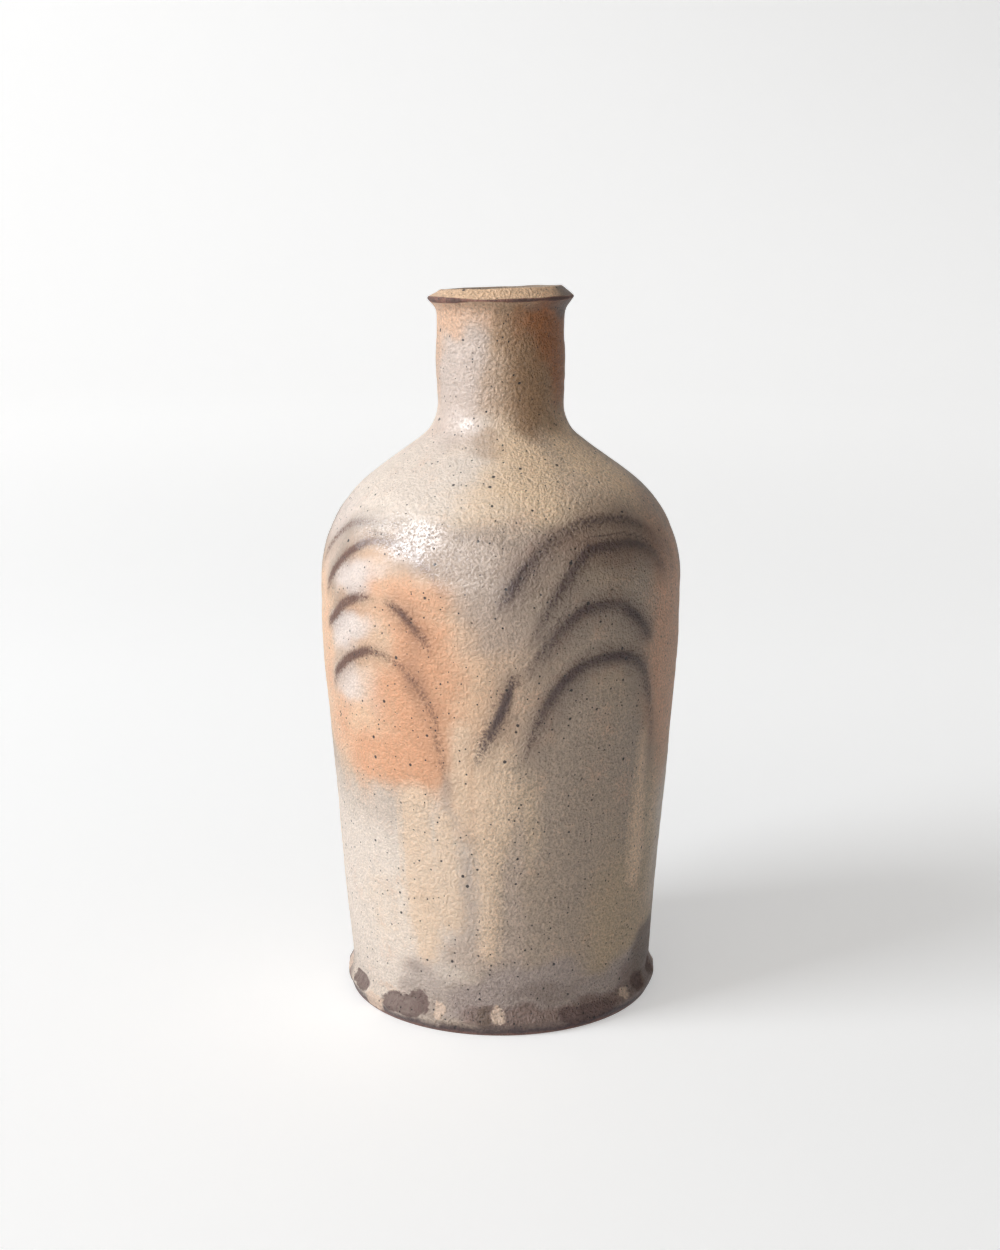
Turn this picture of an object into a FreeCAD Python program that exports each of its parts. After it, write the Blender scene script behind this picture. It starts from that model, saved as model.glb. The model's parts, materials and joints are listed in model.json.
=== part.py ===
"""Wood-fired stoneware bottle, thrown in one piece on the wheel.

The bottle has a wide body that tapers to the foot, a rounded shoulder, a short
straight neck and a flared lip. It is open at the mouth and hollow inside. The
section is a chain of straight runs and tangent arcs, turned about the Z axis.
A ridge of clay was left round the foot, and it is knocked back in a few places.
The lip was thrown by hand, so the rim above the bore leans a little.

Millimetres, +Z up, origin at the centre of the resting face. -Y is the front.
"""

import math
import os

import FreeCAD
import Part

# Foot: the flat sole, the ridge of clay above it, and the root of the wall
foot_radius = 52.2
sole_round = 0.9
ridge_out = 1.7
ridge_height = 4.6
ridge_round = 1.6
root_in = 0.45
root_rise = 4.0
root_round = 5.0

# Body: a nearly straight wall that leans out to the belly, then in a little
belly_radius = 60.75
belly_rise = 120.0
belly_round = 320.0
shoulder_in = 0.75
shoulder_rise = 37.9
shoulder_round = 43.5

# Neck: its root in the shoulder, then the swell and the groove of the fingers
neck_radius = 20.65
neck_rise = 28.8
neck_round = 14.0
swell_out = 0.85
swell_rise = 22.2
swell_round = 34.0
groove_out = 0.3
groove_rise = 7.5
groove_round = 16.0

# Rim: the flare under the lip, the bevel up to the crest, and the mouth inside
flare_rise = 7.7
flare_round = 6.5
lip_out = 3.25
lip_rise = 4.2
lip_edge_round = 0.45
crest_in = 5.3
crest_rise = 3.5
crest_round = 1.5
mouth_depth = 5.5
mouth_round = 4.0

# Walls: the body's, the neck's and the floor's, and the rounds inside
wall = 5.6
neck_wall = 5.45
floor_thickness = 8.5
throat_round = 12.0
floor_round = 16.0

# Lean of the rim: rise for each millimetre to the right or to the back
lip_lean_right = 0.012
crest_lean_right = 0.042
crest_lean_back = -0.037

# Knocks in the foot ridge: azimuth from the front, plan radius and depth
knocks = {
    "left": (-71.0, 24.0, 1.0),
    "front_left": (-44.0, 120.0, 1.1),
    "front": (8.0, 260.0, 0.9),
    "front_right": (37.0, 70.0, 0.7),
    "right": (63.0, 20.0, 0.8),
    "back_right": (128.0, 60.0, 0.9),
    "back": (171.0, 30.0, 0.7),
    "back_left": (-138.0, 90.0, 1.0),
}
knock_edge_round = 5.0

AXIS = FreeCAD.Vector(0, 0, 1)
ORIGIN = FreeCAD.Vector(0, 0, 0)
FULL_TURN = 360

# Where the corners of the outside lie before they are rounded
foot_corner = FreeCAD.Vector(foot_radius, 0, 0)
ridge_corner = foot_corner + FreeCAD.Vector(ridge_out, 0, ridge_height)
root_corner = FreeCAD.Vector(foot_radius - root_in, 0, ridge_height + root_rise)
belly_corner = FreeCAD.Vector(belly_radius, 0, root_corner.z + belly_rise)
shoulder_corner = belly_corner + FreeCAD.Vector(-shoulder_in, 0, shoulder_rise)
neck_corner = FreeCAD.Vector(neck_radius, 0, shoulder_corner.z + neck_rise)
swell_corner = neck_corner + FreeCAD.Vector(swell_out, 0, swell_rise)
groove_corner = FreeCAD.Vector(
    neck_radius + groove_out, 0, swell_corner.z + groove_rise
)
flare_corner = groove_corner + FreeCAD.Vector(0, 0, flare_rise)
lip_corner = flare_corner + FreeCAD.Vector(lip_out, 0, lip_rise)
crest_corner = lip_corner + FreeCAD.Vector(-crest_in, 0, crest_rise)

# The inside of the neck is a plain round bore, up to where the mouth opens
bore_radius = neck_radius - neck_wall
mouth_corner = FreeCAD.Vector(bore_radius, 0, crest_corner.z - mouth_depth)


def set_in(start, end, thickness):
    """A run of the outside moved into the clay: a point on it and its way."""
    run = end - start
    inward = FreeCAD.Vector(-run.z, 0, run.x).normalize()
    return start + inward * thickness, run


def crossing(run_a, run_b):
    """Where two runs of the section cross, each a point and a way."""
    (start_a, way_a), (start_b, way_b) = run_a, run_b
    gap = start_b - start_a
    turn = way_a.x * way_b.z - way_a.z * way_b.x
    return start_a + way_a * ((gap.x * way_b.z - gap.z * way_b.x) / turn)


def tangent_arc(before, corner, after, radius):
    """Where the arc that rounds a corner starts, crowns and ends."""
    back = (before - corner).normalize()
    ahead = (after - corner).normalize()
    half = back.getAngle(ahead) / 2
    reach = radius / math.tan(half)
    crown = (back + ahead).normalize() * (radius / math.sin(half) - radius)
    return corner + back * reach, corner + crown, corner + ahead * reach


def fitting_radii(corners):
    """The corners' radii, each no larger than the runs beside it have room for."""
    radii = [radius for _, radius in corners]
    reaches = [0.0] * len(corners)
    for number in range(1, len(corners) - 1):
        before, here, after = (point for point, _ in corners[number - 1:number + 2])
        start, _, _ = tangent_arc(before, here, after, radii[number])
        reaches[number] = start.distanceToPoint(here)
    shares = [1.0] * len(corners)
    for number in range(len(corners) - 1):
        run = corners[number][0].distanceToPoint(corners[number + 1][0])
        taken = reaches[number] + reaches[number + 1]
        if taken > run:
            shares[number] = min(shares[number], run / taken)
            shares[number + 1] = min(shares[number + 1], run / taken)
    return [radius * share for radius, share in zip(radii, shares)]


def rounded_chain(corners):
    """Straight edges joined by tangent arcs. Each corner is a point and its radius."""
    radii = fitting_radii(corners)
    points = [point for point, _ in corners]
    edges = []
    here = points[0]
    for number in range(1, len(points) - 1):
        enter, crown, leave = tangent_arc(
            points[number - 1], points[number], points[number + 1], radii[number]
        )
        if not here.isEqual(enter, Part.Precision.confusion()):
            edges.append(Part.LineSegment(here, enter).toShape())
        edges.append(Part.Arc(enter, crown, leave).toShape())
        here = leave
    edges.append(Part.LineSegment(here, points[-1]).toShape())
    return edges


def section():
    """The wall in section: up the outside, over the rim and down the inside."""
    wall_run = set_in(root_corner, belly_corner, wall)
    belly_run = set_in(belly_corner, shoulder_corner, wall)
    slope_run = set_in(shoulder_corner, neck_corner, wall)
    bore_run = (mouth_corner, AXIS)
    floor_middle = FreeCAD.Vector(0, 0, floor_thickness)
    floor_run = (floor_middle, FreeCAD.Vector(1, 0, 0))

    sole = [(ORIGIN, 0), (foot_corner, sole_round)]
    outside = [
        (ridge_corner, ridge_round),
        (root_corner, root_round),
        (belly_corner, belly_round),
        (shoulder_corner, shoulder_round),
        (neck_corner, neck_round),
        (swell_corner, swell_round),
        (groove_corner, groove_round),
        (flare_corner, flare_round),
        (lip_corner, lip_edge_round),
        (crest_corner, crest_round),
    ]
    inside = [
        (mouth_corner, mouth_round),
        (crossing(slope_run, bore_run), throat_round),
        (crossing(belly_run, slope_run), shoulder_round - wall),
        (crossing(wall_run, belly_run), belly_round - wall),
        (crossing(wall_run, floor_run), floor_round),
    ]
    return rounded_chain(sole + outside + inside + [(floor_middle, 0)])


def blend_up(height, low, high):
    """Rises smoothly from 0 at the low height to 1 at the high one."""
    share = min(1.0, max(0.0, (height - low) / (high - low)))
    return share * share * (3 - 2 * share)


def bore_top():
    """Where the straight bore ends and the round of the mouth starts."""
    _, _, leave = tangent_arc(crest_corner, mouth_corner, mouth_corner - AXIS, mouth_round)
    return leave.z


def leaned(point):
    """Where a point of the true turning lies on the hand-thrown rim.

    At any one height this is a linear map, so it moves the poles of a turned
    surface and its points alike.
    """
    lip = blend_up(point.z, bore_top(), lip_corner.z)
    crest = blend_up(point.z, lip_corner.z, crest_corner.z)
    lean_right = lip * lip_lean_right + crest * (crest_lean_right - lip_lean_right)
    lean_back = crest * crest_lean_back
    rise = lean_right * point.x + lean_back * point.y
    return point + FreeCAD.Vector(0, 0, rise)


def turned_face(edge):
    """The face that an edge of the section sweeps round the axis."""
    swept = edge.revolve(ORIGIN, AXIS, FULL_TURN)
    highest = max(vertex.Z for vertex in edge.Vertexes)
    if highest <= bore_top() + Part.Precision.confusion():
        return swept.Faces[0]
    surface = swept.toNurbs().Faces[0].Surface
    for row in range(1, surface.NbUPoles + 1):
        for column in range(1, surface.NbVPoles + 1):
            surface.setPole(row, column, leaned(surface.getPole(row, column)))
    return surface.toShape()


def thrown_pot():
    """The bottle as one closed solid, as it came off the wheel."""
    shell = Part.Compound([turned_face(edge) for edge in section()])
    shell.sewShape()
    pot = Part.Solid(shell.Shells[0])
    if pot.Volume < 0:
        pot.reverse()
    return pot


def knock_tool(azimuth, plan_radius, depth):
    """A wheel with a round edge that reaches into the ridge at one azimuth."""
    _, crown, _ = tangent_arc(foot_corner, ridge_corner, root_corner, ridge_round)
    distance = crown.x + plan_radius - depth
    angle = math.radians(azimuth)
    centre = FreeCAD.Vector(
        distance * math.sin(angle), -distance * math.cos(angle), crown.z
    )
    return Part.makeTorus(plan_radius - knock_edge_round, knock_edge_round, centre)


def bottle():
    """The fired bottle, with the knocks in its foot ridge."""
    tools = [knock_tool(*knock) for knock in knocks.values()]
    return thrown_pot().cut(tools)


os.makedirs("parts", exist_ok=True)
bottle().exportStep("parts/bottle.step")
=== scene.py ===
"""The looks of a wood-fired stoneware bottle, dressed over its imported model."""

import json
import math

import bmesh
import bpy
import numpy as np
from mathutils import Matrix, Vector, noise


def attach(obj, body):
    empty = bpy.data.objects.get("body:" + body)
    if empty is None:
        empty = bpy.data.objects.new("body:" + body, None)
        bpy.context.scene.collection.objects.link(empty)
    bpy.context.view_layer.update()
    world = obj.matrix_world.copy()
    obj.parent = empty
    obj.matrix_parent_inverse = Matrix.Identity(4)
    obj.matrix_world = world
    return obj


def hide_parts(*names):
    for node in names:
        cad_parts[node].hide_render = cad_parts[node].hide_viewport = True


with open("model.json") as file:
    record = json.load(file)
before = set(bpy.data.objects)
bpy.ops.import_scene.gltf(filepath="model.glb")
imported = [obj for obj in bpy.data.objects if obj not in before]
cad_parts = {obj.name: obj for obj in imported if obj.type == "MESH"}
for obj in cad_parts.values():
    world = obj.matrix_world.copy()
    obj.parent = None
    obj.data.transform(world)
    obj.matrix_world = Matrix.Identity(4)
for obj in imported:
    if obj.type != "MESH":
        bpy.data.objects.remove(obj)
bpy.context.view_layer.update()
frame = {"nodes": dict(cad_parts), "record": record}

# View: the camera stands a little over half a metre away and just above the rim,
# and looks down on the bottle as the photograph does.
MM = 0.001
PICTURE_HEIGHT = 1250
FOCAL_PIXELS = 1907
SENSOR = 36
CAMERA_PLACE = (-0.27 * MM, -633 * MM, 269.2 * MM)
CAMERA_TILT = 12.7

camera = bpy.data.objects.new("camera", bpy.data.cameras.new("camera"))
camera.data.sensor_fit = "VERTICAL"
camera.data.sensor_height = SENSOR
camera.data.lens = SENSOR * FOCAL_PIXELS / PICTURE_HEIGHT
camera.location = CAMERA_PLACE
camera.rotation_euler = (math.radians(90 - CAMERA_TILT), 0, 0)
bpy.context.collection.objects.link(camera)
bpy.context.scene.camera = camera
bpy.context.scene.view_settings.view_transform = "Standard"


# Node trees: a wire stands for a socket, so that sums and products of wires can be
# written as Python, and one method adds every other node.
class Wire:
    """A node's output, with the arithmetic that adds Math nodes."""

    def __init__(self, nodes, socket):
        self.nodes = nodes
        self.socket = socket

    def math(self, operation, *others):
        settings = {"operation": operation}
        return self.nodes.add("ShaderNodeMath", settings, dict(enumerate((self, *others))))

    def __add__(self, other):
        return self.math("ADD", other)

    def __radd__(self, other):
        return self.math("ADD", other)

    def __sub__(self, other):
        return self.math("SUBTRACT", other)

    def __rsub__(self, other):
        return self.math("MULTIPLY_ADD", -1, other)

    def __mul__(self, other):
        return self.math("MULTIPLY", other)

    def __truediv__(self, other):
        return self.math("DIVIDE", other)

    def __pow__(self, other):
        return self.math("POWER", other)

    def out(self, name):
        """Another output of the same node."""
        return Wire(self.nodes, self.socket.node.outputs[name])

    def smooth(self, low, high):
        """0 below the low value, 1 above the high one, and smooth between."""
        settings = {"interpolation_type": "SMOOTHSTEP"}
        return self.nodes.add("ShaderNodeMapRange", settings, {
            "Value": self, "From Min": low, "From Max": high,
        })


class Nodes:
    """Adds nodes to one tree."""

    def __init__(self, tree):
        self.tree = tree

    def add(self, kind, settings=None, sockets=None):
        node = self.tree.nodes.new(kind)
        for name, value in (settings or {}).items():
            setattr(node, name, value)
        for name, value in (sockets or {}).items():
            if isinstance(name, int):
                socket = node.inputs[name]
            else:
                socket = next(s for s in node.inputs if s.name == name and s.enabled)
            if isinstance(value, Wire):
                self.tree.links.new(value.socket, socket)
            else:
                socket.default_value = value
        output = next((s for s in node.outputs if s.enabled), None)
        return Wire(self, output) if output else node


# Bottle: one wall of stoneware, thrown on the wheel. Its section is read from the
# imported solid, turned again with a finer mesh, and given the hand's unevenness.
bottle_node = frame["nodes"]["bottle"]
MERGE = 1e-6
HEIGHT_DIGITS = 5  # of a metre, to which two heights count as the same
STRAIGHT_SINE = 0.002
LONGEST_RUN = 4 * MM
CUBIC = 4
SPLINE_STEPS = 8


def half_section(node):
    """The solid's outline on the +X side, from the sole's middle to the floor's."""
    solid = bmesh.new()
    solid.from_mesh(node.data)
    bmesh.ops.remove_doubles(solid, verts=solid.verts, dist=MERGE)
    parts = solid.verts[:] + solid.edges[:] + solid.faces[:]
    cut = bmesh.ops.bisect_plane(
        solid, geom=parts, dist=MERGE, plane_co=(0, 0, 0), plane_no=(0, 1, 0)
    )["geom_cut"]
    neighbours = {}
    for edge in (part for part in cut if isinstance(part, bmesh.types.BMEdge)):
        for here, there in (edge.verts, reversed(edge.verts)):
            neighbours.setdefault(here, []).append(there)
    right = {vertex for vertex in neighbours if vertex.co.x > MERGE}
    here = min(right, key=lambda v: (round(v.co.z, HEIGHT_DIGITS), v.co.x))
    outline = [(0, here.co.z)]
    seen = set()
    while here is not None:
        seen.add(here)
        outline.append((here.co.x, here.co.z))
        onward = [v for v in neighbours[here] if v in right and v not in seen]
        here = onward[0] if onward else None
    outline.append((0, outline[-1][1]))
    solid.free()
    return np.array(outline)


def without_bends(outline):
    """Drops the points that only split a straight run."""
    kept = [outline[0]]
    for before, here, after in zip(outline, outline[1:], outline[2:]):
        (ax, az), (bx, bz) = here - before, after - here
        if abs(ax * bz - az * bx) > STRAIGHT_SINE * np.hypot(ax, az) * np.hypot(bx, bz):
            kept.append(here)
    return np.array(kept + [outline[-1]])


def smooth_section(outline):
    """A cubic spline through the outline's runs, sampled finely."""
    points = [outline[0]]
    for start, end in zip(outline, outline[1:]):
        pieces = max(1, math.ceil(np.hypot(*(end - start)) / LONGEST_RUN))
        for number in range(1, pieces + 1):
            points.append(start + (end - start) * number / pieces)
    curve = bpy.data.curves.new("section", "CURVE")
    spline = curve.splines.new("NURBS")
    spline.points.add(len(points) - 1)
    for point, (radius, height) in zip(spline.points, points):
        point.co = (radius, 0, height, 1)
    spline.order_u = CUBIC
    spline.use_endpoint_u = True
    spline.resolution_u = SPLINE_STEPS
    holder = bpy.data.objects.new("section", curve)
    bpy.context.collection.objects.link(holder)
    bpy.context.view_layer.update()
    evaluated = holder.evaluated_get(bpy.context.evaluated_depsgraph_get())
    mesh = bpy.data.meshes.new_from_object(evaluated)
    fine = np.array([(v.co.x, v.co.z) for v in mesh.vertices])
    bpy.data.objects.remove(holder)
    bpy.data.meshes.remove(mesh)
    return fine


# How far apart the skin's rows are: at the foot and rim, on the body, and inside
FINE_ROW = 0.45 * MM
BODY_ROW = 1.1 * MM
INSIDE_ROW = 3.5 * MM
FOOT_TOP = 14 * MM
RIM_FOOT = 229 * MM


def skin_rows(section):
    """Points along the section, closer where the form is fine. 1 marks the outside."""
    steps = np.hypot(*np.diff(section, axis=0).T)
    length = np.concatenate([[0], np.cumsum(steps)])
    crest = length[np.argmax(section[:, 1])]
    foot_edge = length[np.argmax(section[:, 1] > MERGE)]
    places = [0.0]
    while places[-1] < length[-1]:
        here = places[-1]
        height = np.interp(here, length, section[:, 1])
        if here < foot_edge - FINE_ROW:
            step = min(INSIDE_ROW, foot_edge - here)
        elif height > RIM_FOOT or (here < crest and height < FOOT_TOP):
            step = FINE_ROW
        else:
            step = BODY_ROW if here < crest else INSIDE_ROW
        places.append(here + step)
    places = np.array(places[:-1] + [length[-1]])
    radius = np.interp(places, length, section[:, 0])
    height = np.interp(places, length, section[:, 1])
    return radius, height, (places <= crest).astype(float)


RIM_READINGS = 36
RIM_REACH = math.radians(6)


def rim_plane(node, furthest):
    """The plane through a rim line of the solid: rise to the right and to the back."""
    points = np.array([v.co for v in node.data.vertices if v.co.z > RIM_FOOT])
    angle = np.arctan2(points[:, 1], points[:, 0])
    line = []
    for middle in np.linspace(-math.pi, math.pi, RIM_READINGS, endpoint=False):
        near = np.abs((angle - middle + math.pi) % (2 * math.pi) - math.pi) < RIM_REACH
        stretch = points[near]
        line.append(stretch[np.argmax(furthest(stretch))])
    line = np.array(line)
    sides = np.c_[line[:, 0], line[:, 1], np.ones(len(line))]
    return np.linalg.lstsq(sides, line[:, 2], rcond=None)[0]


mouth = next(m for m in frame["record"]["mounts"] if m["name"] == "mouth")
BORE_TOP = mouth["pos_m"][2] + mouth["dims"]["length_mm"] * MM / 2


def smooth_share(value, low, high):
    """0 below the low value, 1 above the high one, and smooth between."""
    share = np.clip((value - low) / (high - low), 0, 1)
    return share * share * (3 - 2 * share)


section = smooth_section(without_bends(half_section(bottle_node)))
radius, height, outside = skin_rows(section)
crest_right, crest_back, _ = rim_plane(bottle_node, lambda p: p[:, 2])
lip_right, lip_back, _ = rim_plane(bottle_node, lambda p: np.hypot(p[:, 0], p[:, 1]))
lip_height = height[np.argmax(radius * (height > RIM_FOOT))]
lip_share = smooth_share(height, BORE_TOP, lip_height)
crest_share = smooth_share(height, lip_height, height.max())
lean_right = lip_share * lip_right + crest_share * (crest_right - lip_right)
lean_back = lip_share * lip_back + crest_share * (crest_back - lip_back)

rows = bpy.data.meshes.new("bottle_rows")
rows.from_pydata([(r, 0, z) for r, z in zip(radius, height)], [], [])
for name, values in (
    ("outside", outside), ("lean_right", lean_right), ("lean_back", lean_back)
):
    rows.attributes.new(name, "FLOAT", "POINT").data.foreach_set("value", values)


# Over which heights each kind of unevenness comes in, and its wavelengths
SOLE_EDGE = (0.3 * MM, 2.5 * MM)
FOOT_EDGE = (5 * MM, 14 * MM)
NECK_EDGE = (185 * MM, 205 * MM)
LIP_EDGE = (231 * MM, 235 * MM)
WOBBLE_WAVES = (38 * MM, 38 * MM, 30 * MM)
RING_WAVES = (140 * MM, 140 * MM, 5 * MM)
FOOT_WAVES = (6 * MM, 6 * MM, 4 * MM)
LIP_WAVES = (11 * MM, 11 * MM, 8 * MM)
TURNING = {
    "Around": 240,
    "Wobble": 0.4 * MM,
    "Rings": 0.16 * MM,
    "Ragged Foot": 0.7 * MM,
    "Ragged Lip": 0.3 * MM,
}


def turning_tree():
    """Turns the rows of the section into a closed skin and roughens it by hand."""
    tree = bpy.data.node_groups.new("turned_bottle", "GeometryNodeTree")
    nodes = Nodes(tree)
    tree.interface.new_socket("Rows", in_out="INPUT", socket_type="NodeSocketGeometry")
    for name, value in TURNING.items():
        kind = "NodeSocketInt" if isinstance(value, int) else "NodeSocketFloat"
        tree.interface.new_socket(name, in_out="INPUT", socket_type=kind)
    tree.interface.new_socket("Glaze", in_out="INPUT", socket_type="NodeSocketMaterial")
    tree.interface.new_socket("Skin", in_out="OUTPUT", socket_type="NodeSocketGeometry")
    given = nodes.add("NodeGroupInput")

    # One column of the grid for each turn, one row for each point of the section
    rows = given.out("Rows")
    count = nodes.add("GeometryNodeAttributeDomainSize", None, {"Geometry": rows})
    grid = nodes.add("GeometryNodeMeshGrid", None, {
        "Size X": 1.0, "Size Y": 1.0,
        "Vertices X": given.out("Around") + 1, "Vertices Y": count,
    })
    index = nodes.add("GeometryNodeInputIndex")
    column = ((index + 0.5) / count).math("FLOOR")
    row = index - column * count

    def of_row(name):
        """A number kept on the section's row."""
        field = nodes.add(
            "GeometryNodeInputNamedAttribute", {"data_type": "FLOAT"}, {"Name": name}
        )
        return nodes.add("GeometryNodeSampleIndex", {"data_type": "FLOAT"}, {
            "Geometry": rows, "Value": field, "Index": row,
        })

    place = nodes.add("GeometryNodeSampleIndex", {"data_type": "FLOAT_VECTOR"}, {
        "Geometry": rows, "Value": nodes.add("GeometryNodeInputPosition"), "Index": row,
    })
    apart = nodes.add("ShaderNodeSeparateXYZ", None, {"Vector": place})
    radius, height = apart.out("X"), apart.out("Z")
    angle = column / given.out("Around") * (2 * math.pi)
    across = radius * angle.math("SINE")
    back = radius * angle.math("COSINE") * -1
    lean = of_row("lean_right") * (across - radius) + of_row("lean_back") * back
    turned = nodes.add("ShaderNodeCombineXYZ", None, {
        "X": across, "Y": back, "Z": height + lean,
    })
    marked = nodes.add("GeometryNodeStoreNamedAttribute", {"data_type": "FLOAT"}, {
        "Geometry": grid, "Name": "outside", "Value": of_row("outside"),
    })
    skin = nodes.add("GeometryNodeSetPosition", None, {
        "Geometry": marked, "Position": turned,
    })
    skin = nodes.add("GeometryNodeMergeByDistance", None, {
        "Geometry": skin, "Distance": MERGE,
    })

    # The hand's unevenness, along the normal: wobble, throwing rings, foot and lip
    def rough(lengths, detail=0.0):
        """Noise from -1 to 1 with these wavelengths along X, Y and Z, in metres."""
        stretched = nodes.add("ShaderNodeVectorMath", {"operation": "DIVIDE"}, {
            0: nodes.add("GeometryNodeInputPosition"), 1: lengths,
        })
        texture = nodes.add("ShaderNodeTexNoise", None, {
            "Vector": stretched, "Scale": 1.0, "Detail": detail,
        })
        return (texture - 0.5) * 2

    here = nodes.add("ShaderNodeSeparateXYZ", None, {
        "Vector": nodes.add("GeometryNodeInputPosition"),
    }).out("Z")
    above_sole = here.smooth(*SOLE_EDGE)
    on_foot = (1 - here.smooth(*FOOT_EDGE)) * above_sole
    on_neck = here.smooth(*NECK_EDGE)
    on_lip = here.smooth(*LIP_EDGE)
    move = rough(WOBBLE_WAVES) * given.out("Wobble") * above_sole
    rings = rough(RING_WAVES, detail=1.5) * given.out("Rings") * above_sole
    move = move + rings * (1 + on_neck)
    move = move + rough(FOOT_WAVES, detail=2.0) * given.out("Ragged Foot") * on_foot
    move = move + rough(LIP_WAVES, detail=1.0) * given.out("Ragged Lip") * on_lip
    offset = nodes.add("ShaderNodeVectorMath", {"operation": "SCALE"}, {
        0: nodes.add("GeometryNodeInputNormal"), "Scale": move,
    })
    skin = nodes.add("GeometryNodeSetPosition", None, {
        "Geometry": skin, "Offset": offset,
    })
    skin = nodes.add("GeometryNodeSetShadeSmooth", None, {"Geometry": skin})
    skin = nodes.add("GeometryNodeRealizeInstances", None, {"Geometry": skin})
    skin = nodes.add("GeometryNodeSetMaterial", None, {
        "Geometry": skin, "Material": given.out("Glaze"),
    })
    nodes.add("NodeGroupOutput", None, {"Skin": skin})
    return tree


def made_mesh(source, tree, values):
    """The plain mesh that a Geometry Nodes tree makes of a source mesh."""
    holder = bpy.data.objects.new("maker", source)
    bpy.context.collection.objects.link(holder)
    maker = holder.modifiers.new("maker", "NODES")
    maker.node_group = tree
    sockets = {item.name: item.identifier for item in tree.interface.items_tree}
    for name, value in values.items():
        maker[sockets[name]] = value
    evaluated = holder.evaluated_get(bpy.context.evaluated_depsgraph_get())
    mesh = bpy.data.meshes.new_from_object(evaluated)
    holder.modifiers.remove(maker)
    bpy.data.objects.remove(holder)
    return mesh


glaze = bpy.data.materials.new("wood_fired_stoneware")
skin_mesh = made_mesh(rows, turning_tree(), TURNING | {"Glaze": glaze})
skin_mesh.name = "bottle_skin"

# Marks on the bottle, each by its turn from the front towards the right, in degrees,
# and its height, in millimetres. The fire, the ash and a wet finger made them.
HALF = 0.5


def kept_numbers(items, name, width):
    """A row of numbers for each item of the mesh."""
    numbers = np.empty(len(items) * width)
    items.foreach_get(name, numbers)
    return numbers.reshape(-1, width)


places = kept_numbers(skin_mesh.vertices, "co", 3)
normals = kept_numbers(skin_mesh.vertex_normals, "vector", 3)
clear = kept_numbers(skin_mesh.attributes["outside"].data, "value", 1)[:, 0]
on_outside = clear > HALF
turn = np.degrees(np.arctan2(places[:, 0], -places[:, 1]))
up = places[:, 2] / MM


def apart(a, b):
    """How far one turn is from another, the short way round."""
    return (a - b + 180) % 360 - 180


# The edges of every patch wander: how far in mm, and over what length. A length counts
# up to this many times the patch's half size
WANDER = ((3.4, 24), (2.0, 10), (1.1, 4.5))
WANDER_REACH = 1.6
WANDER_SEED = 7

# How square a patch is, from 2 for round, and where in it its colour starts to fade
BOXY = 2.6
PATCH_CORE = 0.25


def wandering(amount, length):
    """A smooth random shift of each vertex, round the bottle and up it, in mm."""
    spots = places / (length * MM)
    shift = np.array([noise.noise_vector(Vector(spot)) for spot in spots]) * amount
    return shift[:, 0] + shift[:, 1], shift[:, 2] * math.sqrt(2)


noise.seed_set(WANDER_SEED)
shifts = [wandering(*wander) for wander in WANDER]


def patches(soft_spots):
    """Soft spots: turn, height, half width in degrees, half height, strength."""
    bare = np.ones(len(turn))
    for middle, height, wide, tall, strength in soft_spots:
        longest = WANDER_REACH * min(wide, tall)
        used = [shift for shift, (_, length) in zip(shifts, WANDER) if length < longest]
        across = np.abs(apart(turn + sum(a for a, _ in used), middle)) / wide
        along = np.abs(up + sum(b for _, b in used) - height) / tall
        away = (across ** BOXY + along ** BOXY) ** (1 / BOXY)
        bare *= 1 - strength * (1 - smooth_share(away, PATCH_CORE, 1.0))
    return (1 - bare) * clear


LINE_STEPS = 8


def drawn(line):
    """A smooth line through a few points, each a row of numbers."""
    line = np.array(line, float)
    padded = np.vstack([2 * line[0] - line[1], line, 2 * line[-1] - line[-2]])
    shares = np.linspace(0, 1, LINE_STEPS, endpoint=False)[:, None]
    smooth = []
    for a, b, c, d in zip(padded, padded[1:], padded[2:], padded[3:]):
        smooth.append(HALF * (
            2 * b + (c - a) * shares + (2 * a - 5 * b + 4 * c - d) * shares ** 2
            + (3 * b - a - 3 * c + d) * shares ** 3
        ))
    return np.vstack(smooth + [line[-1:]])


wall = outside > HALF
wall_radius = radius[wall]
wall_height = np.maximum.accumulate(height[wall])


def on_wall(turns, heights):
    """Points on the outside of the wall, in metres."""
    out = np.interp(heights * MM, wall_height, wall_radius)
    angle = np.radians(turns)
    return np.c_[out * np.sin(angle), -out * np.cos(angle), heights * MM]


def beside(line, near):
    """How far the near vertices lie from a drawn line, in mm, and where along it.

    The distance is positive to the right of the way the line runs, seen from outside.
    """
    points = on_wall(line[:, 0], line[:, 1])
    starts, runs = points[:-1], np.diff(points, axis=0)
    lengths = (runs ** 2).sum(axis=1)
    here = places[near]
    best = np.full(len(here), np.inf)
    along = np.zeros(len(here))
    side = np.ones(len(here))
    for number, (start, run, length) in enumerate(zip(starts, runs, lengths)):
        share = np.clip((here - start) @ run / length, 0, 1)
        gap = here - start - share[:, None] * run
        distance = np.sqrt((gap ** 2).sum(axis=1))
        closer = distance < best
        best[closer] = distance[closer]
        along[closer] = number + share[closer]
        turned = np.einsum("ij,ij->i", np.cross(run, gap[closer]), normals[near][closer])
        side[closer] = np.where(turned > 0, -1, 1)
    return best / MM * side, along


FAR = 8  # mm, past which no line or run counts


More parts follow.
